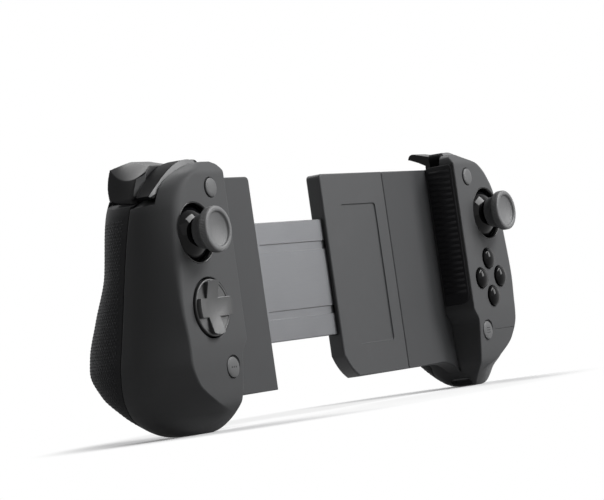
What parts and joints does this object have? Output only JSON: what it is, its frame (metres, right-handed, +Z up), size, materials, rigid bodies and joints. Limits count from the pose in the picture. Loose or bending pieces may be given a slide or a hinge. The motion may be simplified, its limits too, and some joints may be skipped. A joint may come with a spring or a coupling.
{
  "type": "mobile game controller",
  "caption": "Telescopic game controller: full-size grips on a sliding bridge, with thumb sticks, a direction pad, face buttons, bumpers and triggers, holding a flat device between them.",
  "frame": {"origin": "centre of the overall box's bottom face, on the plane that both grips stand on", "axes": "+X along the bridge towards the handle with the button diamond, +Y from the control faces to the back, +Z up"},
  "size_m": [0.2484, 0.0576, 0.097],
  "materials": {
    "shell": "fine matte moulded",
    "grip": "matte with fine raised texture",
    "pad": "matte ribbed",
    "wing": "matte moulded",
    "tongue": "satin",
    "sleeve": "matte moulded",
    "board": "solder mask",
    "steel": "satin",
    "cell": "satin",
    "bracket": "moulded",
    "skirt": "polished",
    "cap": "matte, dished",
    "ring": "satin",
    "dpad": "satin",
    "button": "polished",
    "small_button": "fine matte",
    "trigger": "satin",
    "bumper": "satin"
  },
  "bodies": {
    "left_handle": {"left_front_shell": "shell", "left_rear_grip": "grip", "left_slot_pad": "pad", "left_wing": "wing", "left_board": "board", "left_switches": "steel", "left_screws": "steel", "left_stick_module": "bracket", "left_stick_ring": "ring", "left_trigger_bracket": "bracket", "left_trigger_pin": "steel", "left_bumper_pin": "steel", "bridge_tongue": "tongue", "battery_cell": "cell", "dpad_bracket": "bracket"},
    "right_handle": {"right_front_shell": "shell", "right_rear_grip": "grip", "right_slot_pad": "pad", "right_wing": "wing", "right_board": "board", "right_switches": "steel", "right_screws": "steel", "right_stick_module": "bracket", "right_stick_ring": "ring", "right_trigger_bracket": "bracket", "right_trigger_pin": "steel", "right_bumper_pin": "steel", "bridge_sleeve": "sleeve", "charge_port": "steel"},
    "left_stick_yoke": {"left_stick_yoke": "steel"},
    "left_stick_spindle": {"left_stick_spindle": "steel"},
    "left_stick": {"left_stick_skirt": "skirt", "left_stick_cap": "cap"},
    "left_trigger": {"left_trigger": "trigger"},
    "left_bumper": {"left_bumper": "bumper"},
    "left_top_button": {"left_top_button": "small_button"},
    "left_low_button": {"left_low_button": "small_button"},
    "right_stick_yoke": {"right_stick_yoke": "steel"},
    "right_stick_spindle": {"right_stick_spindle": "steel"},
    "right_stick": {"right_stick_skirt": "skirt", "right_stick_cap": "cap"},
    "right_trigger": {"right_trigger": "trigger"},
    "right_bumper": {"right_bumper": "bumper"},
    "right_top_button": {"right_top_button": "small_button"},
    "right_low_button": {"right_low_button": "small_button"},
    "dpad_rocker": {"dpad_rocker": "steel"},
    "dpad": {"dpad_cap": "dpad"},
    "face_button_north": {"face_button_north": "button"},
    "face_button_east": {"face_button_east": "button"},
    "face_button_south": {"face_button_south": "button"},
    "face_button_west": {"face_button_west": "button"}
  },
  "joints": [
    {"name": "bridge_slide", "type": "slide", "parent": "left_handle", "child": "right_handle", "axis": [1, 0, 0], "range_m": [-0.047, 0.012]},
    {"name": "left_stick_sideways", "type": "hinge", "parent": "left_handle", "child": "left_stick_yoke", "pos_m": [-0.1025, -0.00975, 0.0685], "axis": [0, 0, 1], "range_deg": [-15, 15], "stiffness_Nm_per_rad": 0.03},
    {"name": "left_stick_updown", "type": "hinge", "parent": "left_stick_yoke", "child": "left_stick_spindle", "pos_m": [-0.1025, -0.00975, 0.0685], "axis": [1, 0, 0], "range_deg": [-15, 15], "stiffness_Nm_per_rad": 0.03},
    {"name": "left_stick_press", "type": "slide", "parent": "left_stick_spindle", "child": "left_stick", "axis": [0, 1, 0], "range_m": [0, 0.0005], "stiffness_N_per_m": 3000},
    {"name": "left_trigger_pull", "type": "hinge", "parent": "left_handle", "child": "left_trigger", "pos_m": [-0.1022, -0.00335, 0.0873], "axis": [-1, 0, 0], "range_deg": [0, 16], "stiffness_Nm_per_rad": 0.06, "springref_deg": -5.73},
    {"name": "left_bumper_press", "type": "hinge", "parent": "left_handle", "child": "left_bumper", "pos_m": [-0.0868, -0.00925, 0.0918], "axis": [0, -1, 0], "range_deg": [0, 2.5], "stiffness_Nm_per_rad": 0.4},
    {"name": "left_top_button_press", "type": "slide", "parent": "left_handle", "child": "left_top_button", "axis": [0, 1, 0], "range_m": [0, 0.0012], "stiffness_N_per_m": 400},
    {"name": "left_low_button_press", "type": "slide", "parent": "left_handle", "child": "left_low_button", "axis": [0, 1, 0], "range_m": [0, 0.0012], "stiffness_N_per_m": 400},
    {"name": "right_stick_sideways", "type": "hinge", "parent": "right_handle", "child": "right_stick_yoke", "pos_m": [0.1025, -0.00975, 0.0685], "axis": [0, 0, 1], "range_deg": [-15, 15], "stiffness_Nm_per_rad": 0.03},
    {"name": "right_stick_updown", "type": "hinge", "parent": "right_stick_yoke", "child": "right_stick_spindle", "pos_m": [0.1025, -0.00975, 0.0685], "axis": [1, 0, 0], "range_deg": [-15, 15], "stiffness_Nm_per_rad": 0.03},
    {"name": "right_stick_press", "type": "slide", "parent": "right_stick_spindle", "child": "right_stick", "axis": [0, 1, 0], "range_m": [0, 0.0005], "stiffness_N_per_m": 3000},
    {"name": "right_trigger_pull", "type": "hinge", "parent": "right_handle", "child": "right_trigger", "pos_m": [0.1022, -0.00335, 0.0873], "axis": [-1, 0, 0], "range_deg": [0, 16], "stiffness_Nm_per_rad": 0.06, "springref_deg": -5.73},
    {"name": "right_bumper_press", "type": "hinge", "parent": "right_handle", "child": "right_bumper", "pos_m": [0.0868, -0.00925, 0.0918], "axis": [0, 1, 0], "range_deg": [0, 2.5], "stiffness_Nm_per_rad": 0.4},
    {"name": "right_top_button_press", "type": "slide", "parent": "right_handle", "child": "right_top_button", "axis": [0, 1, 0], "range_m": [0, 0.0012], "stiffness_N_per_m": 400},
    {"name": "right_low_button_press", "type": "slide", "parent": "right_handle", "child": "right_low_button", "axis": [0, 1, 0], "range_m": [0, 0.0012], "stiffness_N_per_m": 400},
    {"name": "dpad_updown", "type": "hinge", "parent": "left_handle", "child": "dpad_rocker", "pos_m": [-0.1, -0.01545, 0.0424], "axis": [1, 0, 0], "range_deg": [-4, 4], "stiffness_Nm_per_rad": 0.1},
    {"name": "dpad_sideways", "type": "hinge", "parent": "dpad_rocker", "child": "dpad", "pos_m": [-0.1, -0.01545, 0.0424], "axis": [0, 0, 1], "range_deg": [-4, 4], "stiffness_Nm_per_rad": 0.1},
    {"name": "face_button_north_press", "type": "slide", "parent": "right_handle", "child": "face_button_north", "axis": [0, 1, 0], "range_m": [0, 0.0012], "stiffness_N_per_m": 400},
    {"name": "face_button_east_press", "type": "slide", "parent": "right_handle", "child": "face_button_east", "axis": [0, 1, 0], "range_m": [0, 0.0012], "stiffness_N_per_m": 400},
    {"name": "face_button_south_press", "type": "slide", "parent": "right_handle", "child": "face_button_south", "axis": [0, 1, 0], "range_m": [0, 0.0012], "stiffness_N_per_m": 400},
    {"name": "face_button_west_press", "type": "slide", "parent": "right_handle", "child": "face_button_west", "axis": [0, 1, 0], "range_m": [0, 0.0012], "stiffness_N_per_m": 400}
  ]
}
